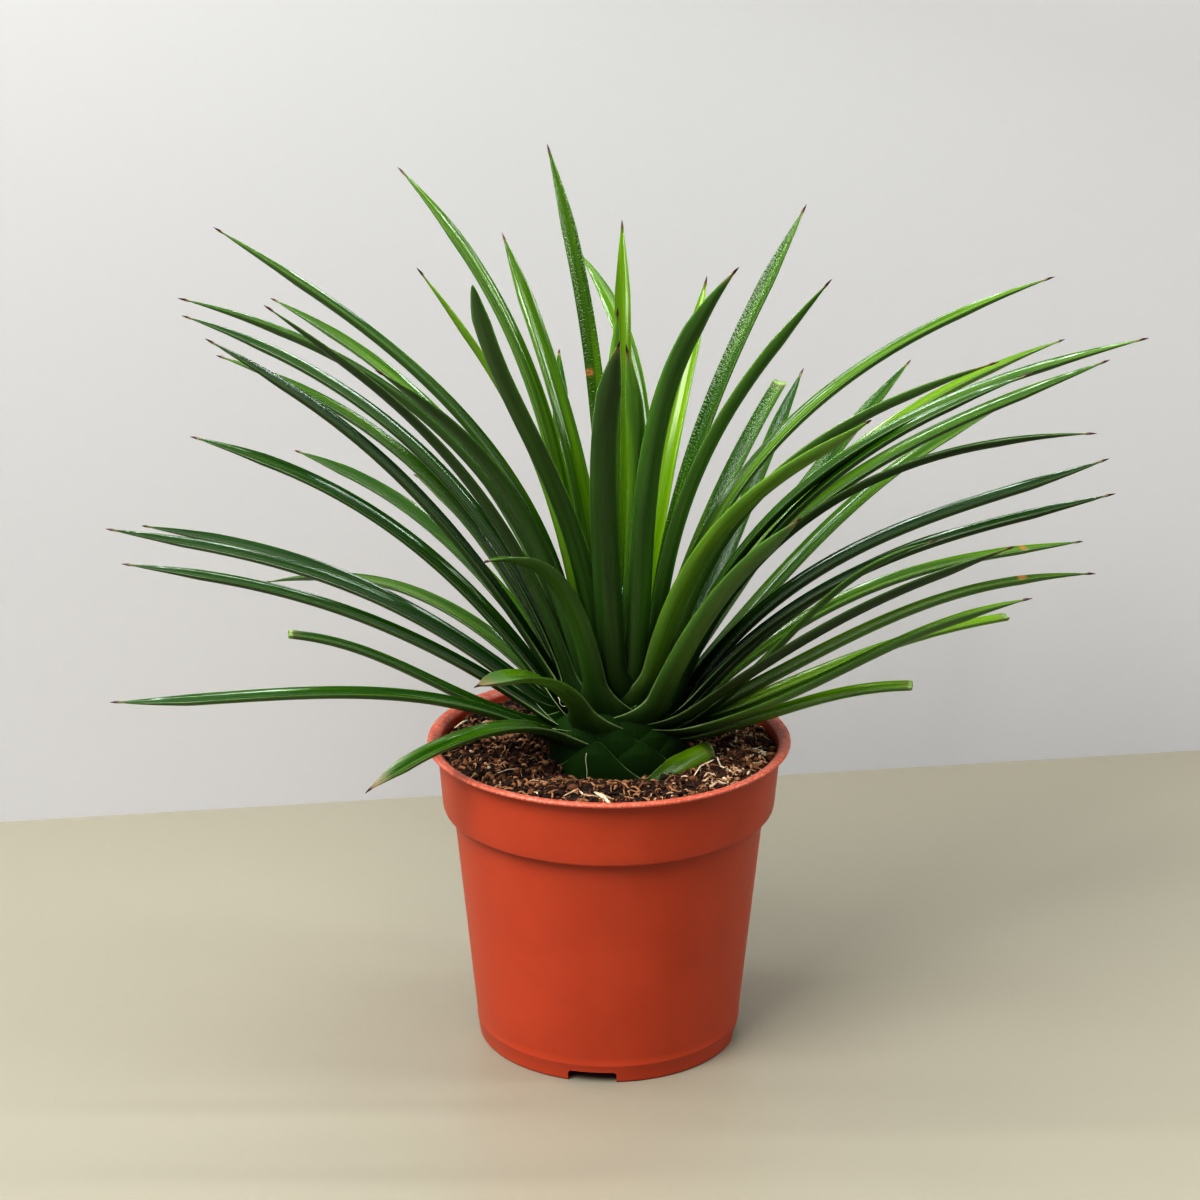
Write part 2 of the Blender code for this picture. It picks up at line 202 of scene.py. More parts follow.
# Threads on the leaf bases: start, end, number of turns and width of the curl
FILAMENTS = (
    ((-16.8, -17.9, 125.0), (-9.4, -22.2, 118.0), 2.5, 0.7),
    ((-14.0, -18.5, 123.0), (-17.5, -16.0, 128.0), 1.5, 0.8),
    ((-30.8, 6.9, 120.0), (-22.2, -7.9, 115.0), 4.0, 0.8),
    ((-7.1, -33.3, 112.0), (-7.1, -35.6, 104.0), 0.6, 0.4),
    ((9.0, -27.0, 108.0), (15.0, -28.0, 106.0), 0.7, 0.5),
    ((24.0, -14.0, 118.0), (20.0, -18.0, 111.0), 1.2, 0.5),
)

# Leaf number and how much its upper face is broken into sparks of light
GLINTS = {49: 1.0, 30: 1.0, 54: 0.8, 32: 0.5, 24: 0.4, 11: 0.7, 18: 0.7}

# Leaf number and how far it is rolled about its own length, in degrees
ROLLS = {1: 48.0}

# Old bases whose blades are gone, where few leaves hide the crown: bearing, seat height and how
# far out from the crown they stand. Their near-black colour is painted shade for the shadowed foot
# of the crown, over the dull green of old bases
SCALES = (
    (218, -0.5, 4.0), (250, -1.0, 6.0), (284, -1.0, 3.5), (320, -0.5, 1.5), (186, -0.5, 2.0),
    (202, 3.0, 1.0), (234, 3.0, 3.0), (267, 3.0, 2.5), (301, 3.0, 1.0), (336, 3.0, 0.5),
    (250, 8.0, 1.0), (285, 8.5, 0.5), (318, 8.0, 0.0),
)

# Tips that have dried soft and pale: leaf number and length in mm
FADED = {2: 9.0, 19: 20.0, 45: 6.0, 46: 7.0, 37: 9.0, 55: 6.0, 28: 7.0, 22: 5.0, 60: 5.0}

# Brown scars: leaf number and distance from the tip in mm
SCARS = {8: 24.5, 15: 23.7, 54: 76.0}


# Meshes


def link_object(name, data):
    obj = bpy.data.objects.new(name, data)
    bpy.context.scene.collection.objects.link(obj)
    return obj


def shade_smooth(mesh):
    mesh.polygons.foreach_set("use_smooth", [True] * len(mesh.polygons))


def new_object(name, verts, faces, material, slot, replaced=(), **attributes):
    """A smooth mesh on the root body, in place of the CAD nodes that it replaces.

    An attribute holds a vector for each vertex, for the material to read.
    """
    mesh = bpy.data.meshes.new(name)
    mesh.from_pydata([tuple(v) for v in verts], [], faces)
    mesh.update()
    shade_smooth(mesh)
    for key, values in attributes.items():
        layer = mesh.attributes.new(key, "FLOAT_VECTOR", "POINT")
        layer.data.foreach_set("vector", np.asarray(values, np.float32).ravel())
    obj = link_object(name, mesh)
    mesh.materials.append(material)
    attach(obj, "root")
    if replaced:
        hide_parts(*replaced)
    return obj


def smooth_step(low, high, x):
    t = np.clip((x - low) / (high - low), 0.0, 1.0)
    return t * t * (3 - 2 * t)


def circle(radius, steps):
    angles = [2 * math.pi * i / steps for i in range(steps)]
    return [(radius * math.cos(a), radius * math.sin(a)) for a in angles]


def band(first, second, count):
    """Faces between two closed rows of vertices, given the number of each row's first vertex."""
    nexts = [(k + 1) % count for k in range(count)]
    return [(first + k, second + k, second + j, first + j) for k, j in enumerate(nexts)]


def lathe(profile, steps):
    """Vertices and faces of a profile of (radius, height) points turned about Z.

    A point on the axis becomes one vertex.
    """
    verts, faces, rows = [], [], []
    for radius, height in profile:
        if radius < 1e-7:
            rows.append([len(verts)] * steps)
            verts.append((0.0, 0.0, height))
            continue
        rows.append(list(range(len(verts), len(verts) + steps)))
        verts += [(x, y, height) for x, y in circle(radius, steps)]
    for upper, lower in zip(rows, rows[1:]):
        for i in range(steps):
            j = (i + 1) % steps
            face = list(dict.fromkeys((upper[i], lower[i], lower[j], upper[j])))
            if len(face) > 2:
                faces.append(face)
    return verts, faces


def arc(centre, radius, start, end, count):
    """Points on an arc in the plane of a profile, from one angle to another in degrees."""
    angles = [math.radians(start + (end - start) * i / count) for i in range(count + 1)]
    return [(centre[0] + radius * math.cos(a), centre[1] + radius * math.sin(a)) for a in angles]


def tube(path, radii, sides):
    """A closed tube along a path, as vertices and faces."""
    path = [Vector(p) for p in path]
    verts, faces = [], []
    across = None
    for i, point in enumerate(path):
        along = (path[min(i + 1, len(path) - 1)] - path[max(i - 1, 0)]).normalized()
        if across is None:
            across = along.orthogonal().normalized()
        across = (across - along * across.dot(along)).normalized()
        up = along.cross(across)
        verts += [point + (across * x + up * y) * radii[i] for x, y in circle(1.0, sides)]
    for i in range(len(path) - 1):
        for k in range(sides):
            j = (k + 1) % sides
            a, b = i * sides, (i + 1) * sides
            faces.append((a + k, a + j, b + j, b + k))
    faces.append(tuple(range(sides))[::-1])
    faces.append(tuple(range(len(verts) - sides, len(verts))))
    return verts, faces


# Materials

RANGE_SOCKETS = ("From Min", "From Max", "To Min", "To Max")

# Colours of a leaf: its two faces from a deep tone to a bright one, then single ones and pairs
LEAF_TOP = (
    (0.0, (0.002, 0.020, 0.001)),
    (0.35, (0.006, 0.038, 0.001)),
    (0.65, (0.036, 0.084, 0.002)),
    (1.0, (0.160, 0.285, 0.003)),
)
LEAF_UNDER = (
    (0.0, (0.014, 0.034, 0.005)),
    (0.4, (0.038, 0.094, 0.017)),
    (0.7, (0.076, 0.168, 0.028)),
    (1.0, (0.170, 0.310, 0.020)),
)
PAINTED_GLOW_STREAK = (0.110, 0.215, 0.004)
PALE_FIBRE = (0.060, 0.145, 0.012)
DARK_BLOTCH = (0.008, 0.030, 0.002)
PAINTED_ROOT_SHADE = (0.009, 0.030, 0.002)
SHADED_OLD_BASE = ((0.005, 0.018, 0.002), (0.014, 0.044, 0.004))
PALE_MARGIN = ((0.110, 0.190, 0.055), (0.320, 0.380, 0.200))
SCAR = ((0.200, 0.070, 0.014), (0.420, 0.200, 0.060))
RED_BY_SPINE = (0.130, 0.100, 0.020)
CUT_END = (0.170, 0.250, 0.070)

# Colours along a dried tip and along a spine, from the tip inwards
DRY_TIP = (
    (0.0, (0.150, 0.090, 0.060)),
    (0.35, (0.210, 0.160, 0.090)),
    (1.0, (0.080, 0.150, 0.045)),
)
SPINE_TIP = (
    (0.0, (0.060, 0.026, 0.024)),
    (0.45, (0.045, 0.010, 0.012)),
    (1.0, (0.075, 0.018, 0.012)),
)

# Other colours, dark and pale where there are two
SOIL_TONES = (
    (0.0, (0.014, 0.006, 0.003)),
    (0.25, (0.060, 0.021, 0.008)),
    (0.5, (0.240, 0.105, 0.045)),
    (0.75, (0.520, 0.290, 0.150)),
    (1.0, (0.880, 0.760, 0.560)),
)
PAINTED_PIT_SHADE = (0.020, 0.008, 0.004)
POT_PLASTIC = ((0.372, 0.052, 0.018), (0.415, 0.060, 0.022))
POT_WIPE = (0.420, 0.075, 0.036)
POT_DIRT = (0.045, 0.020, 0.010)
POT_SCUFF_AND_HIGHLIGHT = (0.680, 0.270, 0.200)
TIE_PLASTIC = ((0.004, 0.170, 0.130), (0.012, 0.330, 0.270))
STEM_FLESH = ((0.020, 0.045, 0.012), (0.075, 0.120, 0.035))
THREAD = ((0.420, 0.370, 0.280), (0.720, 0.680, 0.580))
TABLE_TOP = ((0.252, 0.233, 0.182), (0.266, 0.246, 0.192))
WALL_PAINT = ((0.488, 0.484, 0.486), (0.506, 0.502, 0.504))

# How strongly a blade and an old base mirror the room
BLADE_SHINE = 0.34
OLD_BASE_SHINE = 0.12


class Shader:
    """A Principled material, and short ways to add nodes to it."""

    def __init__(self, name, **sockets):
        self.material = bpy.data.materials.new(name)
        self.material.use_nodes = True
        self.tree = self.material.node_tree
        self.principled = self.tree.nodes["Principled BSDF"]
        for socket, value in sockets.items():
            self.principled.inputs[socket.replace("_", " ")].default_value = value

    def node(self, kind, **settings):
        node = self.tree.nodes.new(kind)
        for key, value in settings.items():
            setattr(node, key, value)
        return node

    def put(self, value, socket):
        if isinstance(value, bpy.types.NodeSocket):
            self.tree.links.new(value, socket)
        elif isinstance(value, tuple) and len(value) == 3 and socket.type == "RGBA":
            socket.default_value = (*value, 1.0)
        else:
            socket.default_value = value

    def fill(self, node, **values):
        for name, value in values.items():
            self.put(value, node.inputs[name])

    def set(self, name, value):
        self.put(value, self.principled.inputs[name])

    def attribute(self, name):
        return self.node("ShaderNodeAttribute", attribute_name=name).outputs["Vector"]

    def place(self):
        return self.node("ShaderNodeTexCoord").outputs["Object"]

    def split(self, vector):
        node = self.node("ShaderNodeSeparateXYZ")
        self.put(vector, node.inputs[0])
        return node.outputs

    def noise(self, vector, scale, detail, roughness=0.5):
        node = self.node("ShaderNodeTexNoise")
        self.fill(node, Vector=vector, Scale=scale, Detail=detail, Roughness=roughness)
        return node.outputs["Fac"]

    def grain(self, vector, scales, detail, roughness=0.5):
        """Noise with its own scale along each axis, which draws it out into streaks."""
        node = self.node("ShaderNodeVectorMath", operation="MULTIPLY")
        self.put(vector, node.inputs[0])
        node.inputs[1].default_value = scales
        return self.noise(node.outputs[0], 1.0, detail, roughness)

    def spots(self, vector, scale):
        node = self.node("ShaderNodeTexVoronoi")
        self.fill(node, Vector=vector, Scale=scale)
        return node.outputs["Distance"]

    def remap(self, value, low, high, out_low=0.0, out_high=1.0, kind="SMOOTHSTEP"):
        node = self.node("ShaderNodeMapRange", interpolation_type=kind)
        self.fill(node, Value=value, **dict(zip(RANGE_SOCKETS, (low, high, out_low, out_high))))
        return node.outputs["Result"]

    def linear(self, value, low, high, out_low=0.0, out_high=1.0):
        return self.remap(value, low, high, out_low, out_high, "LINEAR")

    def math(self, operation, a, b=0.0):
        node = self.node("ShaderNodeMath", operation=operation)
        self.put(a, node.inputs[0])
        self.put(b, node.inputs[1])
        return node.outputs[0]

    def add(self, a, b):
        return self.math("ADD", a, b)

    def less(self, a, b):
        return self.math("SUBTRACT", a, b)

    def times(self, a, b):
        return self.math("MULTIPLY", a, b)

    def mix(self, factor, a, b):
        node = self.node("ShaderNodeMix", data_type="RGBA")
        for value, place in ((factor, 0), (a, 6), (b, 7)):
            self.put(value, node.inputs[place])
        return node.outputs[2]

    def ramp(self, factor, stops):
        node = self.node("ShaderNodeValToRGB")
        ramp = node.color_ramp
        while len(ramp.elements) < len(stops):
            ramp.elements.new(0.5)
        for element, (position, colour) in zip(ramp.elements, stops):
            element.position = position
            element.color = (*colour, 1.0)
        self.put(factor, node.inputs[0])
        return node.outputs[0]

    def bump(self, height, strength, distance):
        node = self.node("ShaderNodeBump")
        self.fill(node, Strength=strength, Distance=distance, Height=height)
        self.set("Normal", node.outputs[0])


def leaf_material(name, specular):
    """Glossy, fibrous blade, coloured by four attributes of its mesh.

    "blade" is (across, along, leaf), in mm and with a number for the leaf.
    "marks" is (closeness to the margin, upper face, distance from the tip in mm).
    "tone" is (tone, cut end, glint).
    "wear" is (length dried in mm, scar's distance from the tip in mm, old base).
    """
    s = Shader(name, Subsurface_Weight=0.08, Subsurface_Scale=0.002, Specular_IOR_Level=specular)
    s.principled.inputs["Subsurface Radius"].default_value = (0.45, 1.0, 0.12)
    blade = s.attribute("blade")
    across, along, _ = s.split(blade)
    margin, upper, from_tip = s.split(s.attribute("marks"))
    tone, end, glint = s.split(s.attribute("tone"))
    faded, scar, old = s.split(s.attribute("wear"))
    fibres = s.grain(blade, (3.2, 0.05, 7.0), 4.0, 0.6)
    bands = s.grain(blade, (0.5, 0.02, 3.0), 2.0)
    blotches = s.grain(blade, (0.35, 0.07, 5.0), 3.0, 0.55)

    # The blade
    # The tone holds painted light and shade as well as the leaf's own colour
    shade = s.add(tone, s.linear(bands, 0.3, 0.7, -0.12, 0.12))
    colour = s.mix(upper, s.ramp(shade, LEAF_UNDER), s.ramp(shade, LEAF_TOP))
    # Yellower lengthwise streaks on the upper face of bright leaves: painted glow and highlight of
    # light on the blade
    glow_streak = s.remap(s.grain(blade, (0.42, 0.012, 4.0), 1.0), 0.45, 0.62)
    glow_streak = s.times(s.times(upper, glow_streak), s.remap(tone, 0.1, 0.75, 0.04, 0.55))
    colour = s.mix(glow_streak, colour, PAINTED_GLOW_STREAK)
    pale = s.times(s.remap(fibres, 0.35, 0.75, 0.0, 0.45), s.remap(tone, 0.0, 0.6, 0.25, 1.0))
    colour = s.mix(pale, colour, PALE_FIBRE)
    colour = s.mix(s.remap(blotches, 0.62, 0.8, 0.0, 0.35), colour, DARK_BLOTCH)

    # Its root, darkened with painted shade where the leaves crowd together over the crown, and its
    # margins, which are palest near the root
    root = s.remap(along, -2.0, 44.0, 0.88, 0.0)
    colour = s.mix(root, colour, PAINTED_ROOT_SHADE)
    # Old bases are coloured near black: painted shade at the shadowed foot of the crown
    colour = s.mix(old, colour, s.mix(fibres, *SHADED_OLD_BASE))
    near_root = s.remap(along, 8.0, 34.0, 0.85, 0.22)
    at_margin = s.times(s.remap(margin, 0.45, 0.95), near_root)
    colour = s.mix(at_margin, colour, s.mix(fibres, *PALE_MARGIN))

    # Dried tips and scars
    dried = s.remap(s.less(faded, from_tip), -5.0, 5.0, 0.0, 0.95)
    colour = s.mix(dried, colour, s.ramp(s.linear(from_tip, 0.0, 14.0), DRY_TIP))
    scar_gap = s.math("ABSOLUTE", s.less(from_tip, scar))
    scarred = s.remap(s.add(scar_gap, s.times(blotches, 1.6)), 1.3, 2.6, 0.9, 0.0)
    scarred = s.times(scarred, s.remap(across, -0.6, 0.6))
    colour = s.mix(scarred, colour, s.mix(fibres, *SCAR))

    # The spine with the red behind it, or a cut end
    spined = s.less(1.0, end)
    colour = s.mix(s.times(s.remap(from_tip, 2.8, 6.0, 0.6, 0.0), spined), colour, RED_BY_SPINE)
    spine_colour = s.ramp(s.linear(from_tip, 0.0, 3.5), SPINE_TIP)
    colour = s.mix(s.times(s.remap(from_tip, 2.0, 3.6, 1.0, 0.0), spined), colour, spine_colour)
    colour = s.mix(s.times(s.remap(from_tip, 0.35, 1.1, 1.0, 0.0), end), colour, CUT_END)
    s.set("Base Color", colour)

    rough = s.mix(upper, s.remap(fibres, 0.3, 0.7, 0.28, 0.40), s.remap(fibres, 0.3, 0.7, 0.09, 0.19))
    matt = s.add(s.times(root, 0.22), s.times(s.add(dried, old), 0.3))
    s.set("Roughness", s.add(s.add(rough, matt), s.remap(blotches, 0.5, 0.8, 0.0, 0.15)))
    ridges = s.grain(blade, (0.95, 0.016, 11.0), 1.5)
    ripples = s.grain(blade, (1.0, 1.3, 9.0), 2.0, 0.55)
    sparks = s.times(ripples, s.linear(glint, 0.0, 1.0, 0.05, 2.6))
    s.bump(s.add(s.times(fibres, 0.07), s.add(ridges, sparks)), 0.8, 0.00015)
    return s.material


def pot_material():
    """Moulded orange plastic with a fine grain, faint wipes, and soil specks at the rim, which is
    paler at the lip: partly scuffs, partly a painted highlight on the lip top.
    """
    s = Shader("pot_plastic_look", Specular_IOR_Level=0.4)
    place = s.place()
    clouds = s.noise(place, 38.0, 4.0, 0.55)
    fine = s.noise(place, 900.0, 3.0, 0.6)
    streaks = s.grain(place, (70.0, 70.0, 5.0), 3.0)
    colour = s.mix(s.remap(clouds, 0.3, 0.7), *POT_PLASTIC)
    colour = s.mix(s.remap(streaks, 0.45, 0.8, 0.0, 0.16), colour, POT_WIPE)
    rim = s.remap(s.split(place)[2], 0.1030, 0.1046)
    specks = s.remap(s.spots(place, 520.0), 0.05, 0.16, 1.0, 0.0)
    dusty = s.remap(s.noise(place, 150.0, 2.0), 0.50, 0.62)
    dirt = s.times(s.times(specks, dusty), rim)
    colour = s.mix(dirt, colour, POT_DIRT)
    # Paler lip: scuffs, and a painted highlight where light catches the top of the lip
    scuff_and_highlight = s.times(rim, s.remap(fine, 0.40, 0.7, 0.20, 0.70))
    s.set("Base Color", s.mix(scuff_and_highlight, colour, POT_SCUFF_AND_HIGHLIGHT))
    s.set("Roughness", s.add(s.remap(clouds, 0.3, 0.7, 0.36, 0.46), s.times(dirt, 0.4)))
    s.bump(s.add(fine, s.times(streaks, 0.6)), 0.22, 0.00010)
    return s.material


def soil_material():
    """Coir and peat. "grit" is (tone, 0, 0), one value for each crumb or fibre. Pits and low places
    are darkened with painted shade, and the soil towards the right is paled with painted light.
    """
    s = Shader("soil_look", Roughness=0.92)
    place = s.place()
    tone = s.split(s.attribute("grit"))[0]
    fine = s.noise(place, 950.0, 4.0, 0.6)
    clumps = s.noise(place, 160.0, 3.0, 0.6)
    # Soil paler towards the right: painted light, where the leaves shade it more than they should
    painted_light_right = s.remap(s.split(place)[0], 0.015, 0.045, -0.05, 0.15)
    varied = s.add(s.add(tone, painted_light_right), s.linear(clumps, 0.3, 0.7, -0.10, 0.14))
    # Dark pits in the noise: painted shade in the gaps between crumbs
    pit_shade = s.remap(fine, 0.35, 0.65, 0.45, 0.0)
    s.set("Base Color", s.mix(pit_shade, s.ramp(varied, SOIL_TONES), PAINTED_PIT_SHADE))
    s.bump(s.add(fine, clumps), 0.8, 0.0006)
    return s.material


def tie_material():
    s = Shader("tie_look", Roughness=0.22, Coat_Weight=0.5)
    place = s.place()
    s.set("Base Color", s.mix(s.noise(place, 160.0, 3.0), *TIE_PLASTIC))
    s.bump(s.noise(place, 700.0, 2.0), 0.2, 0.0001)
    return s.material


def stem_material():
    s = Shader("stem_look", Roughness=0.6)
    rings = s.grain(s.place(), (60.0, 60.0, 520.0), 3.0, 0.6)
    s.set("Base Color", s.mix(rings, *STEM_FLESH))
    s.bump(rings, 0.6, 0.0006)
    return s.material


def filament_material():
    s = Shader("filament_look", Roughness=0.5)
    s.set("Base Color", s.mix(s.noise(s.place(), 600.0, 2.0), *THREAD))
    return s.material


# Leaves

STATIONS = 72
UPPER_POINTS = 13
WIDTH_TIMES = 1.06  # a finer blade against the width in its row
ROOT_REACH = 8  # mm of clasping base below the place where a blade leaves the crown
FLARE_END = 0.0145
FLARE_TIMES = 3.1
SPINE_LENGTH = 0.0030
BLUNT_LENGTH = 0.016
LEAST_WIDTH = 0.0002
LYING_LENGTH = 0.050  # a cut leaf shorter than this lies on the soil and clasps nothing
FAR_FROM_TIP = 50.0  # mm, for an end that has neither a spine nor a cut face
NO_SCAR = -50.0
CUT_RINGS = ((0.93, 0.0004), (0.72, 0.0007), (0.35, 0.0006))  # share of the outline, bulge
FIRST_SEED = 1000

OLD_BASE_NUMBER = 100
OLD_BASE_HEIGHT = 12.0
OLD_BASE_WIDTH = 12.5


def direction(bearing, slope):
    b, a = math.radians(bearing), math.radians(slope)
    return np.array([math.cos(a) * math.cos(b), math.cos(a) * math.sin(b), math.sin(a)])


def crown_radius(height):
    return CROWN_RADIUS * math.sqrt(max(0.0, 1.0 - (height / CROWN_HEIGHT) ** 2))


def leaf_curve(leaf, seat, spread=0.0):
    """The four control points of a leaf's centre line, as in the CAD model.

    A short cut leaf is straight here.
    """
    bearing, reach, rise, launch, finish, turn = leaf[:6]
    middle = np.array([*STEM_PLACE, SOIL_MIDDLE])
    outward = direction(bearing + turn, 0.0)
    start = middle + outward * (crown_radius(seat) + spread) + np.array([0.0, 0.0, seat])
    tip = middle + direction(bearing, 0.0) * reach * MM + np.array([0.0, 0.0, rise * MM])
    chord = tip - start
    length = np.linalg.norm(chord)
    if length < SHORT_LEAF and leaf[7] == CUT:
        start = start + np.array(SHORT_LEAF_SHIFT)
        chord = tip - start
        return (start, start + chord * 0.33, tip - chord * 0.33, tip)
    chord_bearing = math.degrees(math.atan2(chord[1], chord[0]))
    leave = direction(bearing + turn, launch)
    swing = (chord_bearing - bearing - turn + 180) % 360 - 180
    arrive = direction(chord_bearing + swing, finish)
    return (start, start + leave * length * LAUNCH_HANDLE, tip - arrive * length * FINISH_HANDLE, tip)


def flare_share(along):
    """1 in the wide base that clasps the stem, 0 in the blade."""
    return np.clip((FLARE_END - along) / (FLARE_END + 0.001), 0.0, 1.0) ** 1.6


def blade_stations(curve, outward, clasping):
    """Places, directions and lengths along a leaf, close together at both ends.

    Below its seat the leaf turns down along the stem.
    """
    even = np.linspace(0.0, 1.0, STATIONS)
    t = even - 0.10 * np.sin(2 * math.pi * even)
    a, b, c, d = (np.asarray(p)[None, :] for p in curve)
    t = t[:, None]
    place = a * (1 - t) ** 3 + 3 * b * t * (1 - t) ** 2 + 3 * c * t**2 * (1 - t) + d * t**3
    slope = 3 * (b - a) * (1 - t) ** 2 + 6 * (c - b) * t * (1 - t) + 3 * (d - c) * t**2
    slope /= np.linalg.norm(slope, axis=1)[:, None]
    launch = math.asin(slope[0][2])
    point, places, slopes = place[0], [], []
    for k in range(ROOT_REACH):
        rise = launch + (math.radians(86) - launch) * smooth_step(-0.5, 5.5, k + 0.5)
        heading = slope[0]
        if clasping:
            heading = outward * math.cos(rise) + np.array([0.0, 0.0, math.sin(rise)])
        point = point - heading * MM
        places.append(point)
        slopes.append(heading)
    place = np.vstack([places[::-1], place])
    slope = np.vstack([slopes[::-1], slope])
    steps = np.linalg.norm(np.diff(place, axis=0), axis=1)
    along = np.concatenate([[0.0], np.cumsum(steps)]) - ROOT_REACH * MM
    return place, slope, along


def blade_widths(along, total, full, end, flare):
    share = np.clip(along / total, 0.0, 1.0)
    body = 1.0 - 0.26 * np.clip((share - 0.15) / 0.85, 0.0, 1.0) ** 1.6
    width = full * body * (1 + (FLARE_TIMES - 1) * flare)
    left = total - along
    if end == CUT:
        return width
    if end == BLUNT:
        part = np.clip(left / BLUNT_LENGTH, 0.0, 1.0)
        rounded = width * np.sqrt(1.0 - (1.0 - part) ** 2) * (0.55 + 0.45 * part)
        return np.maximum(rounded, LEAST_WIDTH)
    if end == POINT:
        return full * 2.7 * np.clip(left / (total + 0.003), 0.0, 1.0) ** 0.8 + LEAST_WIDTH
    blade_end = np.clip((left - SPINE_LENGTH * 0.8) / (0.15 * total), 0.0, 1.0) ** 0.66
    spine = 0.00095 * np.clip(left / SPINE_LENGTH, 0.0, 1.0) ** 0.85 + 0.00008
    return np.maximum(width * blade_end, spine)


def blade_axes(bearing, slope, angle, clasping):
    """Directions across the blade and out of its upper face, turned about its length."""
    side = direction(bearing + 90, 0.0) if clasping else np.array([-slope[1], slope[0], 0.0])
    side -= slope * side.dot(slope)
    side /= np.linalg.norm(side)
    up = np.cross(slope, side)
    turned_side = side * math.cos(angle) + up * math.sin(angle)
    return turned_side, up * math.cos(angle) - side * math.sin(angle)


def build_leaf(name, leaf, seat, number, material, replaced=(), spread=0.0):
    """One leaf, as closed rings of points across its blade, with what its material reads."""
    rng = random.Random(FIRST_SEED + number)
    curve = leaf_curve(leaf, seat, spread)
    bearing, turn, full, end, tone = leaf[0], leaf[5], leaf[6] * MM * WIDTH_TIMES, leaf[7], leaf[8]
    lying = end == CUT and np.linalg.norm(curve[3] - curve[0]) < LYING_LENGTH
    clasping = 0.0 if lying else 1.0
    place, slope, along = blade_stations(curve, direction(bearing + turn, 0.0), clasping)
    total = along[-1]
    flare = flare_share(along) * clasping
    widths = blade_widths(along, total, full, end, flare)
    if lying:
        widths = widths * (0.25 + 0.75 * smooth_step(-0.002, 0.016, along))
    roll = math.radians(ROLLS.get(number, 0.0))
    twist = math.radians(rng.uniform(-9, 9))
    wrap = smooth_step(0.018, 0.001, along) if end != POINT else 1.0 + 0 * along
    bend = wrap / (crown_radius(seat) + 0.002 + spread) * clasping
    at_spine = smooth_step(SPINE_LENGTH * 1.5, SPINE_LENGTH * 0.7, total - along)
    at_spine = at_spine if end == SPINE else 0 * along
    side_turn = turn * (1 - 0.5 * smooth_step(0.0, 0.030, along))
    across = np.sin(np.linspace(math.pi / 2, -math.pi / 2, UPPER_POINTS))
    back = np.sin(np.linspace(-math.pi / 2, math.pi / 2, UPPER_POINTS))[1:-1]
    outline = [(u, 1.0) for u in across] + [(u, 0.0) for u in back]
    ring = len(outline)
    verts, blade, marks = [], [], []
    for i in range(len(along)):
        angle = roll + twist * smooth_step(0.1, 0.9, along[i] / total)
        side, up = blade_axes(bearing + side_turn[i], slope[i], angle, clasping)
        w, f, needle = widths[i], flare[i], at_spine[i]
        core = min(w, full)
        keel = core * (0.36 - 0.16 * f) * (0.55 if end == POINT else 1.0)
        keel = keel * (1 - needle) + 0.5 * w * needle
        channel = (0.12 if lying else -0.135) * core * (1 - needle) + 0.5 * w * needle
        for u, is_upper in outline:
            if is_upper:
                rise = channel * (1 - u * u) ** (1.0 - 0.5 * needle)
            else:
                rise = -keel * (1 - abs(u) ** (2.3 - 0.9 * f)) ** (0.62 + 0.4 * f)
            x = u * w / 2
            turned = bend[i] * x
            bent = bend[i] > 1e-4
            x2 = math.sin(turned) / bend[i] if bent else x
            z2 = (1 - math.cos(turned)) / bend[i] if bent else 0.0
            point = place[i] + side * x2 + up * z2
            verts.append(point + (up * math.cos(turned) - side * math.sin(turned)) * rise)
            blade.append((x / MM, along[i] / MM * (1.5 if lying else 1.0), number * 1.7))
            from_edge = (1 - abs(u)) * w / 2 / MM
            from_tip = (total - along[i]) / MM if end in (SPINE, CUT) else FAR_FROM_TIP
            marks.append((max(0.0, 1 - from_edge / (0.42 + 1.1 * f)), is_upper, from_tip))
    if end == CUT:
        last = verts[-ring:]
        centre = sum(last) / ring
        for scale, push in CUT_RINGS:
            verts += [centre + (point - centre) * scale + slope[-1] * push for point in last]
            blade += blade[-ring:]
            marks += [(0.0, 1.0, 0.0)] * ring
    rows = len(verts) // ring
    faces = [face for i in range(rows - 1) for face in band(i * ring, (i + 1) * ring, ring)]
    faces.append(tuple(range(ring)))
    faces.append(tuple(range((rows - 1) * ring, rows * ring))[::-1])
    tones = [(tone, 1.0 if end == CUT else 0.0, GLINTS.get(number, 0.0))] * len(verts)
    wear = (FADED.get(number, 0.0), SCARS.get(number, NO_SCAR), 1.0 if end == POINT else 0.0)
    read = {"blade": blade, "marks": marks, "tone": tones, "wear": [wear] * len(verts)}
    new_object(name, verts, faces, material, "leaf_green", replaced, **read)


def build_leaves():
    material = leaf_material("leaf_blade", BLADE_SHINE)
    old_material = leaf_material("leaf_old_base", OLD_BASE_SHINE)
    count = len(LEAVES)
    for i, leaf in enumerate(LEAVES):
        seat = SEAT_LOW + (SEAT_HIGH - SEAT_LOW) * i / (count - 1)
        node = f"leaf_{i + 1:02d}"
        build_leaf(f"{node}_blade", leaf, seat, i + 1, material, (node,))
    for i, (name, seat, leaf) in enumerate(MORE_LEAVES):
        build_leaf(name, leaf, seat * MM, count + i + 1, material)
    for i, (bearing, seat, spread) in enumerate(SCALES):
        height = seat + OLD_BASE_HEIGHT
        reach = crown_radius(min(height * MM, 0.028)) / MM + 1.5 + 0.55 * spread
        scale = (bearing, reach, height, 82, 100 + 3 * spread, 0, OLD_BASE_WIDTH, POINT, 0.0)
        name, number = f"old_base_{i + 1:02d}", OLD_BASE_NUMBER + i
        build_leaf(name, scale, seat * MM, number, old_material, spread=spread * MM)


# Pot

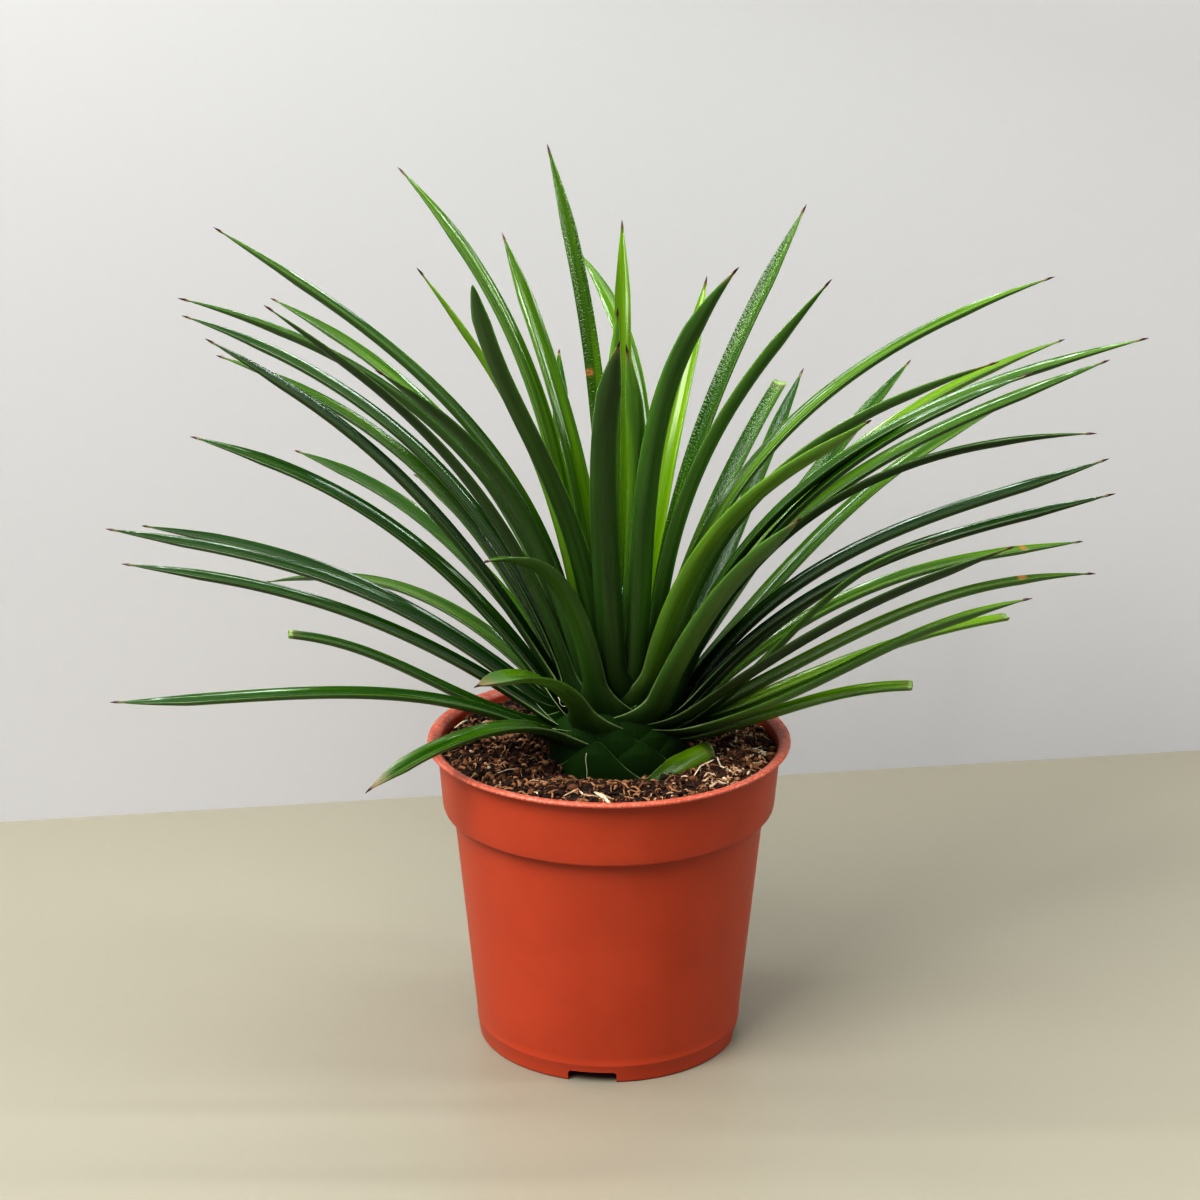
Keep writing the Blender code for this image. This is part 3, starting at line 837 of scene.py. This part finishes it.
POT_STEPS = 288
FLOOR_FILLET = 0.002
COLLAR_FILLET = 0.0012
FOOT_FILLET = 0.0008
CREASE = 0.0005
LINE_HEIGHT = 0.0062
LINE_PROFILE = ((0.0006, 0.0), (0.0002, 0.00016), (-0.0002, 0.00016), (-0.0006, 0.0))
NOTCHES = 4
DRAINS = 8
SHARP_ANGLE = 38  # degrees


def body_radius(height):
    return FOOT_RADIUS + (BODY_TOP_RADIUS - FOOT_RADIUS) * height / (POT_HEIGHT - COLLAR_HEIGHT)


def build_pot():
    step = POT_HEIGHT - COLLAR_HEIGHT
    half_lip = LIP_DEPTH / 2
    under_lip = POT_HEIGHT - LIP_DEPTH
    floor_top = FLOOR_RISE + WALL
    floor_edge = body_radius(floor_top) - WALL - FLOOR_FILLET
    inner_fillet = arc((floor_edge, floor_top + FLOOR_FILLET), FLOOR_FILLET, -90, 0, 6)
    lip = arc((LIP_RADIUS - half_lip, POT_HEIGHT - half_lip), half_lip, 90, -90, 12)
    underlip = arc((COLLAR_TOP_RADIUS + CREASE, under_lip - CREASE), CREASE, 90, 180, 4)
    collar_edge = COLLAR_FOOT_RADIUS - COLLAR_FILLET
    collar_foot = arc((collar_edge, step + COLLAR_FILLET), COLLAR_FILLET, 0, -80, 8)
    inner_corner = arc((BODY_TOP_RADIUS + CREASE, step - CREASE), CREASE, 90, 180, 4)
    foot = arc((FOOT_RADIUS - FOOT_FILLET, FOOT_FILLET), FOOT_FILLET, 0, -90, 8)
    moulded_line = [(body_radius(LINE_HEIGHT + h) + out, LINE_HEIGHT + h) for h, out in LINE_PROFILE]
    body = np.linspace(step - 0.001, LINE_HEIGHT + 0.003, 14)
    collar = np.linspace(under_lip - 0.001, step + 0.0022, 8)
    taper = (COLLAR_TOP_RADIUS - COLLAR_FOOT_RADIUS) / COLLAR_HEIGHT
    profile = [
        (0.0, floor_top),
        *inner_fillet,
        (BODY_TOP_RADIUS - WALL, step - WALL),
        (COLLAR_FOOT_RADIUS - WALL, step + WALL),
        (COLLAR_TOP_RADIUS - WALL, under_lip - 0.0006),
        (COLLAR_TOP_RADIUS - WALL + 0.0004, POT_HEIGHT - 0.0011),
        (LIP_RADIUS - LIP_WIDTH - 0.0003, POT_HEIGHT - 0.0003),
        (LIP_RADIUS - LIP_WIDTH + 0.0001, POT_HEIGHT - 0.00005),
        *lip,
        *underlip,
        *[(COLLAR_FOOT_RADIUS + taper * (h - step), h) for h in collar],
        *collar_foot,
        *inner_corner,
        *[(body_radius(h), h) for h in body],
        *moulded_line,
        *foot,
        (FOOT_RADIUS - FOOT_RING_WIDTH, 0.0),
        (FOOT_RADIUS - FOOT_RING_WIDTH - 0.0002, FLOOR_RISE),
        (0.0, FLOOR_RISE),
    ]
    verts, faces = lathe(profile, POT_STEPS)
    verts = [out_of_round(*vert) for vert in verts]
    pot = new_object("nursery_pot", verts, faces, pot_material(), "pot_plastic", ("pot",))
    for i in range(NOTCHES):
        cut_away(pot, notch_cutter(math.radians(NOTCH_BEARING + 90 * i)))
    for i in range(DRAINS):
        cut_away(pot, drain_cutter(math.radians(45 * (i + 0.5))))
    shade_smooth(pot.data)
    pot.data.set_sharp_from_angle(angle=math.radians(SHARP_ANGLE))


def out_of_round(x, y, z):
    """A point of the pot, moved a fraction of a millimetre as a thin moulding warps."""
    radius = math.hypot(x, y)
    if radius <= 0.03:
        return (x, y, z)
    a = math.atan2(y, x)
    wobble = 0.00016 * math.sin(2 * a + 0.7) + 0.00006 * math.sin(5 * a + 2.0)
    k = 1.0 + wobble / radius * smooth_step(0.02, 0.105, z)
    return (x * k, y * k, z)


def finish_cutter(bm, place, bearing):
    mesh = bpy.data.meshes.new("cutter")
    bm.to_mesh(mesh)
    bm.free()
    cutter = link_object("cutter", mesh)
    cutter.location = place
    cutter.rotation_euler = (0.0, 0.0, bearing)
    return cutter


def notch_cutter(bearing):
    block = bmesh.new()
    bmesh.ops.create_cube(block, size=1.0)
    bmesh.ops.scale(block, vec=(0.012, NOTCH_WIDTH, 2 * NOTCH_HEIGHT), verts=block.verts)
    upper = [e for e in block.edges if all(v.co.z > 0 for v in e.verts)]
    upper = [e for e in upper if e.verts[0].co.y == e.verts[1].co.y]
    bmesh.ops.bevel(block, geom=upper, offset=0.0011, segments=6, affect="EDGES", profile=0.5)
    radius = FOOT_RADIUS - FOOT_RING_WIDTH / 2
    place = (radius * math.cos(bearing), radius * math.sin(bearing), 0.0)
    return finish_cutter(block, place, bearing)


def drain_cutter(bearing):
    rod = bmesh.new()
    bmesh.ops.create_cone(
        rod, cap_ends=True, segments=40, radius1=DRAIN_RADIUS, radius2=DRAIN_RADIUS, depth=0.008
    )
    place = (DRAIN_CIRCLE * math.cos(bearing), DRAIN_CIRCLE * math.sin(bearing), FLOOR_RISE)
    return finish_cutter(rod, place, 0.0)


def cut_away(obj, cutter):
    """Cuts at once, and clears the cutter away."""
    boolean = obj.modifiers.new("cut", "BOOLEAN")
    boolean.operation = "DIFFERENCE"
    boolean.solver = "EXACT"
    boolean.object = cutter
    done = bpy.data.meshes.new_from_object(obj.evaluated_get(bpy.context.evaluated_depsgraph_get()))
    obj.modifiers.clear()
    obj.data = done
    bpy.data.objects.remove(cutter, do_unlink=True)


# Soil

SOIL_RINGS = 96
SOIL_STEPS = 400
SOIL_TOP = 0.1044  # the soil stands no higher, to stay below the rim
CRUMB_TOP = 0.1046
FIBRE_TOP = 0.1048
HOLLOW_PLACE = 0.037  # x and y of a dip at the back right
HIDDEN_TONE = 0.2
CRUMBS = 1000
CRUMB_TONES = (0.10, 0.18, 0.28, 0.40, 0.52, 0.62)
FIBRES = 3000
FIBRE_PARTS = 6
FIBRE_RADIUS = 0.0549
FIBRE_TONES = (0.34, 0.42, 0.50, 0.58, 0.66, 0.72, 0.80)
DARK_FIBRE = 0.16
CLEAR_OF_STEM = 0.012
SPOTS_RADIUS = 0.0545


def soil_height(x, y):
    """The lumpy surface: clods, then crumbs, sinking a little at the wall."""
    radius = math.hypot(x, y)
    base = SOIL_MIDDLE + (SOIL_EDGE - SOIL_MIDDLE) * min(1.0, radius / SOIL_RADIUS) ** 2
    p = Vector((x, y, 0.0))
    clods = noise.noise(p * 120.0) * 0.0013
    lumps = noise.noise(p * 330.0 + Vector((3.1, 0.0, 0.0))) * 0.0009
    crumbs = noise.noise(p * 900.0) * 0.0005
    hollow = -0.0022 * math.exp(-((x - HOLLOW_PLACE) ** 2 + (y - HOLLOW_PLACE) ** 2) / 0.00018)
    at_wall = -0.0012 * smooth_step(0.050, 0.0554, radius)
    return min(base + clods + lumps + crumbs + hollow + float(at_wall), SOIL_TOP)


def build_soil():
    """The surface in fine rings, then coarse walls and a floor that follow the pot."""
    material = soil_material()
    steps = SOIL_STEPS
    verts, tones = [(0.0, 0.0, soil_height(0.0, 0.0))], [HIDDEN_TONE]
    for i in range(1, SOIL_RINGS + 1):
        for x, y in circle(SOIL_RADIUS * i / SOIL_RINGS, steps):
            z = soil_height(x, y)
            verts.append((x, y, z))
            # Lower soil gets a darker tone and higher soil a paler one: painted shade in the hollows,
            # the dip at the back right among them
            tones.append(0.08 + 110.0 * (z - 0.1025))
    faces = [(0, 1 + k, 1 + (k + 1) % steps) for k in range(steps)]
    for i in range(SOIL_RINGS - 1):
        faces += band(1 + i * steps, 1 + (i + 1) * steps, steps)
    step = POT_HEIGHT - COLLAR_HEIGHT
    floor_top = FLOOR_RISE + WALL
    outline = (
        (COLLAR_FOOT_RADIUS - WALL - 0.0004, step + WALL),
        (BODY_TOP_RADIUS - WALL - 0.0004, step - WALL),
        (body_radius(floor_top) - WALL - 0.0024, floor_top + 0.0024),
        (body_radius(floor_top) - WALL - 0.0044, floor_top + 0.0004),
    )
    last = 1 + (SOIL_RINGS - 1) * steps
    for radius, z in outline:
        start = len(verts)
        verts += [(x, y, z) for x, y in circle(radius, steps)]
        tones += [HIDDEN_TONE] * steps
        faces += band(last, start, steps)
        last = start
    faces.append(tuple(range(last, last + steps))[::-1])
    grit = [(tone, 0.0, 0.0) for tone in tones]
    new_object("soil_bed", verts, faces, material, "soil_fibre", ("soil",), grit=grit)
    scatter_crumbs(material)
    scatter_fibres(material)


def soil_spots(rng, count):
    """Places on the soil, even by area, as (x, y) pairs outside the crown."""
    found = []
    while len(found) < count:
        a = rng.uniform(0, 2 * math.pi)
        radius = SPOTS_RADIUS * math.sqrt(rng.random())
        x, y = radius * math.cos(a), radius * math.sin(a)
        if math.hypot(x - STEM_PLACE[0], y - STEM_PLACE[1]) > CLEAR_OF_STEM:
            found.append((x, y))
    return found


def scatter_crumbs(material):
    """Crumbs of peat and bark: squashed, knobbly balls."""
    rng = random.Random(11)
    ball = bmesh.new()
    bmesh.ops.create_icosphere(ball, subdivisions=2, radius=1.0)
    shape = [v.co.copy() for v in ball.verts]
    shape_faces = [tuple(v.index for v in f.verts) for f in ball.faces]
    ball.free()
    verts, faces, tones = [], [], []
    places = soil_spots(rng, CRUMBS)
    scattered = [(x, y, 0.0004 + 0.0011 * rng.random() ** 2.2, None) for x, y in places]
    chips = [(x * MM, y * MM, size * MM, 1.0) for x, y, size in CHIPS]
    for x, y, size, pale in scattered + chips:
        turn = Matrix.Rotation(rng.uniform(0, 6.28), 3, "Z")
        turn = turn @ Matrix.Rotation(rng.uniform(-0.6, 0.6), 3, "X")
        stretch = Vector((rng.uniform(0.8, 1.9), rng.uniform(0.7, 1.1), rng.uniform(0.45, 0.8)))
        seed = Vector((rng.uniform(0, 50), rng.uniform(0, 50), 0.0))
        z = min(soil_height(x, y) + size * 0.25, CRUMB_TOP - size * 0.5)
        start = len(verts)
        tone = pale or rng.choice(CRUMB_TONES)
        for co in shape:
            knob = 1.0 + 0.45 * noise.noise(co * 1.6 + seed)
            stretched = Vector((co.x * stretch.x, co.y * stretch.y, co.z * stretch.z))
            verts.append(turn @ (stretched * knob * size) + Vector((x, y, z)))
            tones.append((tone, 0.0, 0.0))
        faces += [tuple(start + k for k in f) for f in shape_faces]
    new_object("soil_crumbs", verts, faces, material, "soil_fibre", grit=tones)


def scatter_fibres(material):
    """Coir: curved hairs and slivers that lie across the surface."""
    rng = random.Random(23)
    verts, faces, tones, strands = [], [], [], []
    for x, y in soil_spots(rng, FIBRES):
        length = 0.0012 + 0.0040 * rng.random() ** 1.8
        thick = 0.00015 + 0.00042 * rng.random() ** 2.0
        heading = rng.uniform(0, 2 * math.pi)
        curl = rng.uniform(-1.1, 1.1)
        lift = rng.uniform(0.0, 0.0008)
        path = []
        for i in range(FIBRE_PARTS + 1):
            share = i / FIBRE_PARTS
            z = soil_height(x, y) + thick * 0.6 + lift * math.sin(math.pi * share)
            path.append((x, y, min(z, FIBRE_TOP)))
            heading += curl / FIBRE_PARTS + rng.uniform(-0.15, 0.15)
            x += math.cos(heading) * length / FIBRE_PARTS
            y += math.sin(heading) * length / FIBRE_PARTS
            inside = min(1.0, FIBRE_RADIUS / math.hypot(x, y))
            x, y = x * inside, y * inside
        tone = rng.choice(FIBRE_TONES) if rng.random() < 0.62 else DARK_FIBRE
        strands.append((path, thick, tone))
    for thick, tone, *spots in TWIGS:
        places = [(x * MM, y * MM) for x, y in spots]
        path = [(x, y, soil_height(x, y) + thick * MM + 0.0003) for x, y in places]
        strands.append((path, thick * MM, tone))
    for path, thick, tone in strands:
        shares = [0.1 + 0.8 * i / (len(path) - 1) for i in range(len(path))]
        v, f = tube(path, [thick * (0.45 + 0.55 * math.sin(math.pi * s)) for s in shares], 5)
        start = len(verts)
        verts += v
        faces += [tuple(start + k for k in face) for face in f]
        tones += [(tone, 0.0, 0.0)] * len(v)
    new_object("soil_fibres", verts, faces, material, "soil_fibre", grit=tones)


# Tie, stem and threads

CORE_HEIGHT = 0.026
CORE_RADIUS = 0.0155
CORE_PARTS = 40
CORE_FOOT = ((0.0150, -0.004), (0.0100, -0.020), (0.0, -0.0215))
ROUND_STEPS = 96
THREAD_POINTS = 28
THREAD_RADIUS = 0.00013


def build_tie():
    ring = arc((TIE_RADIUS, 0.0), TIE_THICKNESS / 2, 90, -270, 32)
    verts, faces = lathe(ring[:-1] + [ring[0]], ROUND_STEPS)
    verts = [Vector(v) + Vector(TIE_PLACE) for v in verts]
    tie = new_object("tie_ring", verts, faces, tie_material(), "tie_plastic", ("tie",))
    merge_doubles(tie)


def build_stem():
    """The core under the leaf bases, slimmer than the solid because the bases have thickness."""
    shares = [1 - i / CORE_PARTS for i in range(CORE_PARTS + 1)]
    heights = [CORE_HEIGHT * math.sin(math.pi / 2 * share) for share in shares]
    profile = [(CORE_RADIUS * math.sqrt(max(0.0, 1 - (h / CORE_HEIGHT) ** 2)), h) for h in heights]
    verts, faces = lathe(profile + list(CORE_FOOT), ROUND_STEPS)
    lumpy = []
    for v in verts:
        p = Vector(v)
        p *= 1.0 + 0.05 * noise.noise(p * 300.0)
        lumpy.append(p + Vector((*STEM_PLACE, SOIL_MIDDLE)))
    new_object("stem_core", lumpy, faces, stem_material(), "stem_flesh", ("stem",))


def build_filaments():
    """Curly white threads that peel from the leaf margins, each from one place to another in mm."""
    rng = random.Random(5)
    verts, faces = [], []
    for start, end, turns, width in FILAMENTS:
        a, b = Vector(start) * MM, Vector(end) * MM
        along = (b - a).normalized()
        side = along.orthogonal().normalized()
        other = along.cross(side)
        path = []
        for i in range(THREAD_POINTS):
            share = i / (THREAD_POINTS - 1)
            angle = 2 * math.pi * turns * share + rng.uniform(-0.15, 0.15)
            swing = width * MM * math.sin(math.pi * min(1.0, 0.15 + share)) * rng.uniform(0.85, 1.1)
            path.append(a.lerp(b, share) + (side * math.cos(angle) + other * math.sin(angle)) * swing)
        radii = [THREAD_RADIUS * (1.1 - 0.6 * i / THREAD_POINTS) for i in range(THREAD_POINTS)]
        v, f = tube(path, radii, 6)
        faces += [tuple(len(verts) + k for k in face) for face in f]
        verts += v
    new_object("leaf_filaments", verts, faces, filament_material(), "leaf_green")


def merge_doubles(obj):
    bm = bmesh.new()
    bm.from_mesh(obj.data)
    bmesh.ops.remove_doubles(bm, verts=bm.verts, dist=1e-7)
    bmesh.ops.recalc_face_normals(bm, faces=bm.faces)
    bm.to_mesh(obj.data)
    bm.free()


# Room, light and camera

WALL_HALF = 3.0
WALL_TOP = 3.0
TABLE_FRONT = -5.0
TABLE_BACK = 4.0
LOOK_AT = (0.0, 0.0, 0.16)
WARM = (1.0, 0.99, 0.975)
COOL = (0.94, 0.97, 1.0)

# Lights: name, place, the point it faces, its two sizes, watts and colour
LIGHTS = (
    ("window", (-0.95, -1.15, 1.75), LOOK_AT, (1.15, 1.15), 50.0, WARM),
    ("wall_wash", (-1.3, -0.5, 2.2), (-0.4, 0.25, 0.6), (1.0, 1.0), 6.0, (1.0, 1.0, 1.0)),
    ("back_bar", (0.0, 0.13, 0.50), (0.0, -0.40, 0.20), (1.2, 0.025), 3.2, (0.93, 0.98, 1.0)),
    ("over_back", (-0.25, 0.06, 1.15), (0.0, -0.05, 0.16), (1.3, 0.12), 2.5, (0.96, 0.98, 1.0)),
    ("strip_right", (0.95, -0.15, 0.95), LOOK_AT, (0.06, 0.8), 4.0, COOL),
    ("strip_left", (-1.00, 0.02, 0.90), LOOK_AT, (0.06, 0.8), 2.6, COOL),
)


def stage_plane(name, corners, material):
    mesh = bpy.data.meshes.new(name)
    mesh.from_pydata([tuple(corner) for corner in corners], [], [(0, 1, 2, 3)])
    obj = link_object(name, mesh)
    mesh.materials.append(material)


def room_material(name, colours, roughness):
    s = Shader(name, Roughness=roughness)
    shade = s.remap(s.noise(s.place(), 2.0, 3.0), 0.3, 0.7)
    s.set("Base Color", s.mix(shade, *colours))
    s.bump(s.noise(s.place(), 1400.0, 2.0), 0.05, 0.0002)
    return s.material


def open_from_behind(material):
    """Lets a camera behind the backdrop see the plant through it."""
    tree = material.node_tree
    facing = tree.nodes.new("ShaderNodeNewGeometry")
    clear = tree.nodes.new("ShaderNodeBsdfTransparent")
    mix = tree.nodes.new("ShaderNodeMixShader")
    tree.links.new(facing.outputs["Backfacing"], mix.inputs[0])
    tree.links.new(tree.nodes["Principled BSDF"].outputs[0], mix.inputs[1])
    tree.links.new(clear.outputs[0], mix.inputs[2])
    tree.links.new(mix.outputs[0], tree.nodes["Material Output"].inputs["Surface"])


def build_room():
    a = math.radians(WALL_BEARING)
    along = np.array([math.cos(a), math.sin(a), 0.0])
    middle = np.array([*WALL_PLACE, 0.0])
    left, right = middle - along * WALL_HALF, middle + along * WALL_HALF
    top = np.array([0.0, 0.0, WALL_TOP])
    front, back = np.array([0.0, TABLE_FRONT, 0.0]), np.array([0.0, TABLE_BACK, 0.0])
    table = room_material("table_top", TABLE_TOP, 0.42)
    wall = room_material("wall_paint", WALL_PAINT, 0.9)
    open_from_behind(wall)
    stage_plane("table", (left + front, right + front, right + back, left + back), table)
    stage_plane("wall", (left, right, right + top, left + top), wall)


def add_light(name, place, target, size, power, colour):
    data = bpy.data.lights.new(name, "AREA")
    data.shape = "RECTANGLE"
    data.size, data.size_y = size
    data.energy = power
    data.color = colour
    obj = link_object(name, data)
    obj.location = place
    obj.rotation_euler = (Vector(target) - Vector(place)).to_track_quat("-Z", "Y").to_euler()


def build_light():
    for light in LIGHTS:
        add_light(*light)
    world = bpy.data.worlds.new("room_light")
    world.use_nodes = True
    nodes, links = world.node_tree.nodes, world.node_tree.links
    background = nodes["Background"]
    height = nodes.new("ShaderNodeSeparateXYZ")
    links.new(nodes.new("ShaderNodeTexCoord").outputs["Generated"], height.inputs[0])
    glow = nodes.new("ShaderNodeMapRange")
    links.new(height.outputs["Z"], glow.inputs["Value"])
    for key, number in zip(RANGE_SOCKETS, (0.0, 1.0, WORLD_LOW, WORLD_HIGH)):
        glow.inputs[key].default_value = number
    background.inputs["Color"].default_value = (*COOL, 1.0)
    links.new(glow.outputs["Result"], background.inputs["Strength"])
    bpy.context.scene.world = world
    bpy.context.scene.view_settings.view_transform = "Standard"
    bpy.context.scene.view_settings.look = "High Contrast"


def build_camera():
    data = bpy.data.cameras.new("camera")
    data.lens = LENS
    data.sensor_width = SENSOR
    data.clip_start = 0.05
    camera = link_object("camera", data)
    tilt = Matrix.Rotation(math.radians(90 - CAMERA_PITCH), 4, "X")
    roll = Matrix.Rotation(math.radians(CAMERA_ROLL), 4, "Z")
    camera.matrix_world = Matrix.Translation(CAMERA_PLACE) @ tilt @ roll
    bpy.context.scene.camera = camera


build_camera()
build_room()
build_light()
build_pot()
build_soil()
build_leaves()
build_tie()
build_filaments()
build_stem()
